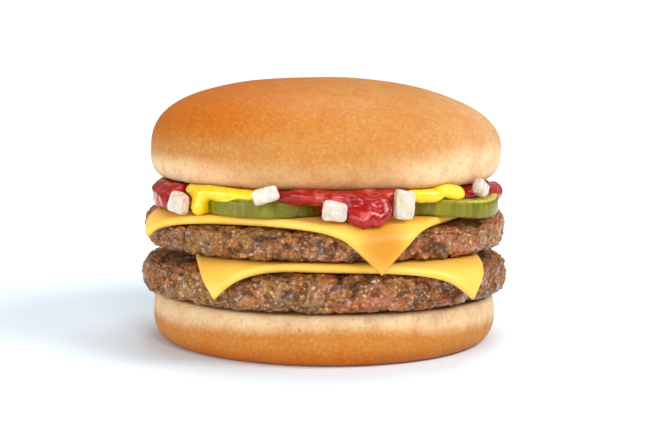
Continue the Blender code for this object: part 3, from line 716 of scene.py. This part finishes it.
def drape_curve(radius, middle, lift):
    """(arc length, radius, height) of a sheet laid over a patty: flat, over the rim, then hanging."""
    angles = np.linspace(math.pi / 2, 0.005, 2000)
    across = radius * np.cos(angles) ** (2.0 / PATTY_RIM_POWER)
    up = middle + PATTY_THICKNESS / 2 * np.sin(angles) ** (2.0 / PATTY_FACE_POWER)
    slope = np.arctan2(-np.gradient(up), np.gradient(across))
    across = across + (lift + DRAPE_EASE) * np.sin(slope)
    up = up + lift * np.cos(slope)
    keep = slope < SLICE_STEEPEST
    across, up, slope = across[keep], up[keep], slope[keep]
    across[0] = 0.0
    across = np.append(across, across[-1] + SLICE_HANG * math.cos(slope[-1]))
    up = np.append(up, up[-1] - SLICE_HANG * math.sin(slope[-1]))
    length = np.concatenate([[0.0], np.cumsum(np.hypot(np.diff(across), np.diff(up)))])
    return length, across, up


def make_slice(name, radius, middle, dipped, finish):
    """One square slice draped like its solid, with softly rounded edges. dipped is as for a patty."""
    plan = SLICES[name]
    start_fresh()
    bpy.ops.mesh.primitive_grid_add(x_subdivisions=SLICE_CUTS, y_subdivisions=SLICE_CUTS, size=2.0)
    sheet = bpy.context.object
    sheet.name = sheet.data.name = name + "_soft"
    length, across, up = drape_curve(radius, middle, GAP + SLICE_THICKNESS / 2)
    half = plan["side"] / 2
    turn = Matrix.Rotation(plan["turn"], 2)
    corners = [turn @ Vector((x, y)).normalized() for x in (-1, 1) for y in (-1, 1)]
    front = min(corners, key=lambda corner: corner.y)
    # painted shade: a patch in the middle of the front corner, where the hanging cheese is in shade
    shade_middle = Vector(plan["middle"]) + front * half * 1.245
    shade_reach = 0.3 * half
    hangs, edges = [], []

    def finer_at_edge(share):
        return math.copysign(1.0 - (1.0 - abs(share)) ** 1.5, share)

    def at_corner(corner, x, y):
        return (1 + corner[0] * x) * (1 + corner[1] * y) / 4

    def laid(point, normal):
        x, y = finer_at_edge(point.x), finer_at_edge(point.y)
        bulge = plan["bulge"]
        flat = Vector((half * x * (1 + bulge * (1 - y * y)), half * y * (1 + bulge * (1 - x * x))))
        flat.y += plan["scoop"] * math.exp(-((x + 0.45) / 0.3) ** 2) * smoothstep(0.0, 1.0, -y)
        for corner, tug in plan["tugs"].items():
            flat += Vector(tug) * at_corner(corner, x, y) ** 3
        flat = turn @ flat + Vector(plan["middle"])
        reach = flat.length
        hugged_radius = np.interp(reach, length, across)
        hugged = flat * (hugged_radius / max(reach, MM))
        hugged_height = np.interp(reach, length, up)
        corner = max(corners, key=flat.dot)
        along = flat.dot(corner)
        folded = flat - corner * (along - np.interp(along, length, across))
        folded_height = np.interp(along, length, up)
        free = smoothstep(0.9 * radius, 1.12 * radius, reach) * (1 - plan["hug"])
        if plan["clings"]:
            free *= 1 - smoothstep(0.3, 0.6, at_corner(plan["clings"], x, y))
        spot = hugged * (1 - free) + folded * free
        height = hugged_height * (1 - free) + folded_height * free
        away = (flat - shade_middle).length
        hangs.append(plan["shade"] * (1.0 - smoothstep(0.0, shade_reach, away)))
        edges.append(min(1.0 - abs(x), 1.0 - abs(y)) * half)
        return Vector((spot.x, spot.y, height - front_dip(spot.x, spot.y) * dipped))

    reshape(sheet, laid)
    carry(sheet, "hang", hangs)
    thick = sheet.vertex_groups.new(name="thick")
    soft = 0.5 * SLICE_THICKNESS
    for index, inward in enumerate(edges):
        share = 1.0 - min(1.0, inward / soft)
        thick.add([index], max(THINNEST_EDGE, math.sqrt(1.0 - share * share)), "REPLACE")
    press(sheet, "SOLIDIFY", thickness=SLICE_THICKNESS, offset=0.0, vertex_group="thick")
    return dress(sheet, finish, "cheese", name)


def rest_curve():
    """(radius, height) of what lies on the upper slice, no steeper than a chip can bend."""
    _, across, up = drape_curve(PATTY_UPPER_RADIUS, PATTY_UPPER_MIDDLE, 2 * GAP + SLICE_THICKNESS)
    slope = np.clip(np.gradient(up, across + 1e-9 * np.arange(len(across))), -PICKLE_STEEPEST, 0.0)
    spacing = np.diff(across)
    return across, up[0] + np.concatenate([[0.0], np.cumsum(0.5 * (slope[1:] + slope[:-1]) * spacing)])


REST_RADIUS, REST_HEIGHT = rest_curve()


def rest_height(x, y):
    """Height at which the filling rests on the upper slice."""
    return float(np.interp(math.hypot(x, y), REST_RADIUS, REST_HEIGHT)) - front_dip(x, y)


def make_pickle(index, place_mm, finish):
    """A round chip with soft edges, bent over the patty's rim, its flesh sunk a little inside the skin."""
    half = PICKLE_THICKNESS / 2
    soft = PICKLE_EDGE
    edge = quarter(soft, soft, 2.0, 2.0, 90, 0, 6)
    profile = [(PICKLE_RADIUS * share, half) for share in (0.0, 0.1, 0.25, 0.4, 0.55, 0.68, 0.78, 0.86, 0.92)]
    profile += [(PICKLE_RADIUS - soft + r, half - soft + z) for r, z in edge]
    profile += [(r, -z) for r, z in reversed(profile)]
    chip = turned(f"pickle_{index + 1}_chip", profile, PICKLE_STEPS)
    middle = Vector((place_mm[0] * MM, place_mm[1] * MM, 0.0))
    rims = []

    def bent(point, normal):
        share = math.hypot(point.x, point.y) / PICKLE_RADIUS
        rims.append(share)
        sunk = PICKLE_SUNK * smoothstep(0.97, 0.8, share)
        sunk *= 0.4 + 0.6 * grain(point, 5.0 * MM, index * 7.0)
        point.z -= math.copysign(sunk, point.z)
        spot = point + middle
        skin = 1.0 + 0.02 * math.sin(3.0 * math.atan2(point.y, point.x) + 60.0 * middle.x)
        skin -= 0.005 * grain(spot, 4.0 * MM, 30.0)
        x, y = middle.x + point.x * skin, middle.y + point.y * skin
        wedge = 1.0 + place_mm[2] * point.x / PICKLE_THICKNESS
        return Vector((x, y, rest_height(x, y) + (half + point.z) * wedge))

    reshape(chip, bent)
    carry(chip, "rim", rims)
    return dress(chip, finish, "pickle", f"pickle_{index + 1}")


def make_onion(index, onion, finish):
    """One dice of onion with rounded edges, slightly bowed like the layer it was cut from."""
    angle, distance, height, size, tilt = onion
    start_fresh()
    bpy.ops.mesh.primitive_cube_add(size=1.0)
    dice = bpy.context.object
    dice.name = dice.data.name = f"onion_{index + 1}_dice"
    bpy.ops.object.mode_set(mode="EDIT")
    bpy.ops.mesh.select_all(action="SELECT")
    bpy.ops.mesh.subdivide(number_cuts=ONION_CUTS)
    bpy.ops.object.mode_set(mode="OBJECT")
    width, depth, tall = (side * MM for side in size)
    half = Vector((width / 2, depth / 2, tall / 2))
    way = math.radians(angle)
    turn = Matrix.Rotation(way + math.pi / 2, 3, "Z") @ Matrix.Rotation(math.radians(tilt), 3, "Y")
    middle = Vector((distance * MM * math.cos(way), distance * MM * math.sin(way), height * MM))
    soft = ONION_EDGE

    def cut(point, normal):
        place = Vector([2.0 * share * side for share, side in zip(point, half)])
        inner = Vector([math.copysign(min(abs(p), side - soft), p) for p, side in zip(place, half)])
        out = place - inner
        if out.length > 0.0:
            place = inner + out.normalized() * soft
        narrow = 1.0 - 0.16 * (place.y / depth + 0.5)
        bow = 0.35 * MM * (2.0 * place.x / width) ** 2
        taper = 1.0 - 0.1 * (place.x / width + 0.5)
        dent = 0.6 * MM * (grain(place, 3.0 * MM, 3.0 * index) - 0.5)
        layer = 0.05 * MM * math.sin(place.z / (0.32 * MM) + 4.0 * dent / MM)
        skewed = 0.8 * dent
        place = Vector((place.x * narrow + skewed, place.y - bow + dent + layer, place.z * taper + skewed))
        return turn @ place + middle

    reshape(dice, cut)
    return dress(dice, finish, "onion", f"onion_{index + 1}")


def outward(angle, distance_mm, height_mm):
    """The place in this direction, at this distance from the axis and this height."""
    way = math.radians(angle)
    return Vector((distance_mm * MM * math.cos(way), distance_mm * MM * math.sin(way), height_mm * MM))


def add_strands(strands):
    """In edit mode, rolls out each strand as a chain of balls, every other one backed by two more."""
    for strand in strands:
        for first, second in zip(strand, strand[1:]):
            gap = (outward(*second[:3]) - outward(*first[:3])).length
            count = max(2, int(gap / BALL_SPACING))
            for step in range(count + 1):
                share = step / count
                angle, out, up, thick = (a + (b - a) * share for a, b in zip(first, second))
                for inward in BACKING_MM if step % 2 == 0 else BACKING_MM[:1]:
                    bpy.ops.mesh.primitive_ico_sphere_add(
                        subdivisions=2,
                        radius=thick * MM,
                        location=outward(angle, out - thick - inward, up),
                    )


def make_sauce(name, core, strands, neighbours, roof, floor, ripple, finish, node, slot):
    """A layer between roof and floor, with strands at the rim, fused and pressed clear of its neighbours."""
    rings = [share * core for share in np.linspace(0.0, 1.0, 26)]
    sauce = turned(name, [(r, 1.0) for r in rings] + [(r, -1.0) for r in reversed(rings)], 110)

    def squeezed(point, normal):
        top, bottom = roof(point.x, point.y), floor(point.x, point.y)
        middle, half = (top + bottom) / 2, max(SAUCE_THINNEST, (top - bottom) / 2)
        return Vector((point.x, point.y, middle + half * math.copysign(1.0, point.z)))

    reshape(sauce, squeezed)
    start_fresh()
    bpy.context.view_layer.objects.active = sauce
    bpy.ops.object.mode_set(mode="EDIT")
    add_strands(strands)
    bpy.ops.object.mode_set(mode="OBJECT")
    press(sauce, "REMESH", mode="VOXEL", voxel_size=SAUCE_VOXEL)
    press(sauce, "SMOOTH", factor=0.5, iterations=8)

    def pressed(point):
        for tree in neighbours:
            near, face = tree.find_nearest(point, SAUCE_REACH)[:2]
            if near and (point - near).dot(face) < SAUCE_SKIN:
                point = near + face * SAUCE_SKIN
        return point

    def folded(point, normal):
        outside = smoothstep(0.8 * core, core, math.hypot(point.x, point.y))
        fold = grain(point, 4.4 * MM, 2.0) - 0.5
        small = grain(point, 1.8 * MM, 5.0) - 0.5
        return pressed(point + normal * outside * (ripple * fold + 0.35 * ripple * small))

    reshape(sauce, folded)
    press(sauce, "SMOOTH", factor=0.4, iterations=2)
    return dress(sauce, finish, slot, node)


def make_filling(crown, slice_upper):
    """Pickles and onions first, then the sauces pressed into the room left under the crown."""
    pickle_finish, onion_finish = make_pickle_finish(), make_onion_finish()
    pickles = [make_pickle(index, place_mm, pickle_finish) for index, place_mm in enumerate(PICKLES)]
    for index, onion in enumerate(ONIONS):
        make_onion(index, onion, onion_finish)
    crown_tree, slice_tree = surface_tree(crown), surface_tree(slice_upper)
    pickle_trees = [surface_tree(pickle) for pickle in pickles]
    up, down = Vector((0.0, 0.0, 1.0)), Vector((0.0, 0.0, -1.0))

    def roof(x, y):
        hit = crown_tree.ray_cast(Vector((x, y, FILLING_BASE)), up)[0]
        ceiling = hit.z if hit else CROWN_WIDEST
        return min(ceiling, CROWN_BASE + CROWN_HOLLOW + y * math.sin(CROWN_NOD)) - GAP

    def under_film(x, y):
        film = FILM_SPACE * (1.0 - smoothstep(MUSTARD_CORE, 1.06 * MUSTARD_CORE, math.hypot(x, y)))
        return roof(x, y) - film

    def floor(x, y):
        above = Vector((x, y, CROWN_BASE))
        hits = [tree.ray_cast(above, down)[0] for tree in pickle_trees + [slice_tree]]
        heights = [hit.z for hit in hits if hit]
        return max(heights + [rest_height(x, y)]) + GAP

    def film_floor(x, y):
        return max(floor(x, y), roof(x, y) - MUSTARD_FILM)

    neighbours = [crown_tree, slice_tree] + pickle_trees
    make_sauce(
        "ketchup_glossy", KETCHUP_CORE, KETCHUP_STRANDS, neighbours, under_film, floor, KETCHUP_RIPPLE,
        make_ketchup_finish(), "ketchup", "ketchup",
    )
    make_sauce(
        "mustard_glossy", MUSTARD_CORE, MUSTARD_STRANDS, neighbours, roof, film_floor, MUSTARD_RIPPLE,
        make_mustard_finish(), "mustard", "mustard",
    )


def make_camera():
    """The camera fitted to the photograph."""
    camera = bpy.data.objects.new("camera", bpy.data.cameras.new("camera"))
    bpy.context.scene.collection.objects.link(camera)
    bpy.context.scene.camera = camera
    camera.data.sensor_width = SENSOR_WIDTH
    camera.data.lens = SENSOR_WIDTH * CAMERA_FOCAL_PIXELS / IMAGE_WIDTH
    camera.data.clip_start = 0.01
    yaw = -math.atan((IMAGE_WIDTH / 2 - CAMERA_AXIS_PIXEL) / CAMERA_FOCAL_PIXELS)
    look = Matrix.Rotation(yaw, 4, "Z")
    look = look @ Matrix.Rotation(math.pi / 2 - CAMERA_PITCH, 4, "X")
    look = look @ Matrix.Rotation(CAMERA_ROLL, 4, "Z")
    camera.matrix_world = Matrix.Translation((0.0, -CAMERA_DISTANCE, CAMERA_HEIGHT)) @ look


def make_floor():
    """A wide white studio floor that glows far off, so that it runs into the backdrop unseen."""
    start_fresh()
    bpy.ops.mesh.primitive_circle_add(vertices=96, radius=FLOOR_RADIUS, fill_type="NGON")
    floor = bpy.context.object
    floor.name = "studio_floor"
    white = Finish("studio white", Roughness=0.8, Specular_IOR_Level=0.0, Emission_Strength=1.0)
    distance = white.node("ShaderNodeVectorMath", {"operation": "LENGTH"}, {0: white.place}, "Value")
    far = white.span(distance, 0.1, 0.4)
    cloud = white.lumps(0.8, 1.0)
    paper = white.blend(cloud, paint(228, 238, 246), paint(231, 241, 249))
    glow = white.blend(far, paint(24, 24, 24), paint(240, 240, 240))
    floor.data.materials.append(white.wear(Base_Color=paper, Emission_Color=glow))


def soft_box(name, place, size, watts, colour=(1.0, 1.0, 1.0)):
    """One square light aimed at the middle of the burger."""
    light = bpy.data.lights.new(name, "AREA")
    light.shape = "RECTANGLE"
    light.size, light.size_y = size
    light.energy = watts
    light.color = colour
    lamp = bpy.data.objects.new(name, light)
    bpy.context.scene.collection.objects.link(lamp)
    lamp.location = place
    aim = Vector((0.0, 0.0, LIGHT_AIM_HEIGHT)) - Vector(place)
    lamp.rotation_euler = aim.to_track_quat("-Z", "Y").to_euler()


def make_studio():
    """Camera, floor, soft boxes, and a backdrop that the camera sees brighter than it lights the burger."""
    make_camera()
    make_floor()
    soft_box("key", (0.62, -0.3, 0.58), (0.4, 0.4), 5.2, (1.0, 0.99, 0.98))
    soft_box("fill", (-0.45, -0.85, 0.35), (0.6, 0.45), 3.9)
    soft_box("left", (-0.8, -0.4, 0.14), (0.5, 0.3), 2.0)
    soft_box("spark", (0.22, -0.82, 0.55), (0.26, 0.26), 2.6)
    soft_box("top", (0.05, 0.25, 0.85), (0.6, 0.5), 4.0)
    world = bpy.data.worlds.new("studio")
    bpy.context.scene.world = world
    world.use_nodes = True
    nodes, links = world.node_tree.nodes, world.node_tree.links
    background = nodes["Background"]
    background.inputs["Color"].default_value = (1.0, 1.0, 1.0, 1.0)
    seen = nodes.new("ShaderNodeLightPath")
    strength = nodes.new("ShaderNodeMapRange")
    strength.inputs["To Min"].default_value = ROOM_LIGHT
    strength.inputs["To Max"].default_value = BACKDROP_LIGHT
    links.new(seen.outputs["Is Camera Ray"], strength.inputs["Value"])
    links.new(strength.outputs[0], background.inputs["Strength"])
    bpy.context.scene.view_settings.view_transform = "Standard"


def make_burger():
    crown_colours = ((222, 187, 142), (182, 123, 56), (180, 97, 3))
    heel_colours = ((219, 187, 142), (189, 121, 48), (188, 98, 18))
    crown = make_crown(make_crust("golden crust top", crown_colours, crown_browning, (0.0, 0.5, 0.6, 1.15)))
    make_heel(make_crust("golden crust base", heel_colours, heel_browning, (0.12, 0.46, 0.6, 1.0)))
    beef = make_beef("grilled beef")
    make_patty("patty_lower", PATTY_LOWER_RADIUS, PATTY_LOWER_MIDDLE, 21.0, 0.0, beef)
    make_patty("patty_upper", PATTY_UPPER_RADIUS, PATTY_UPPER_MIDDLE, 47.0, 1.0, beef)
    cheese = make_cheese()
    make_slice("cheese_lower", PATTY_LOWER_RADIUS, PATTY_LOWER_MIDDLE, 0.0, cheese)
    slice_upper = make_slice("cheese_upper", PATTY_UPPER_RADIUS, PATTY_UPPER_MIDDLE, 1.0, cheese)
    make_filling(crown, slice_upper)


make_studio()
make_burger()
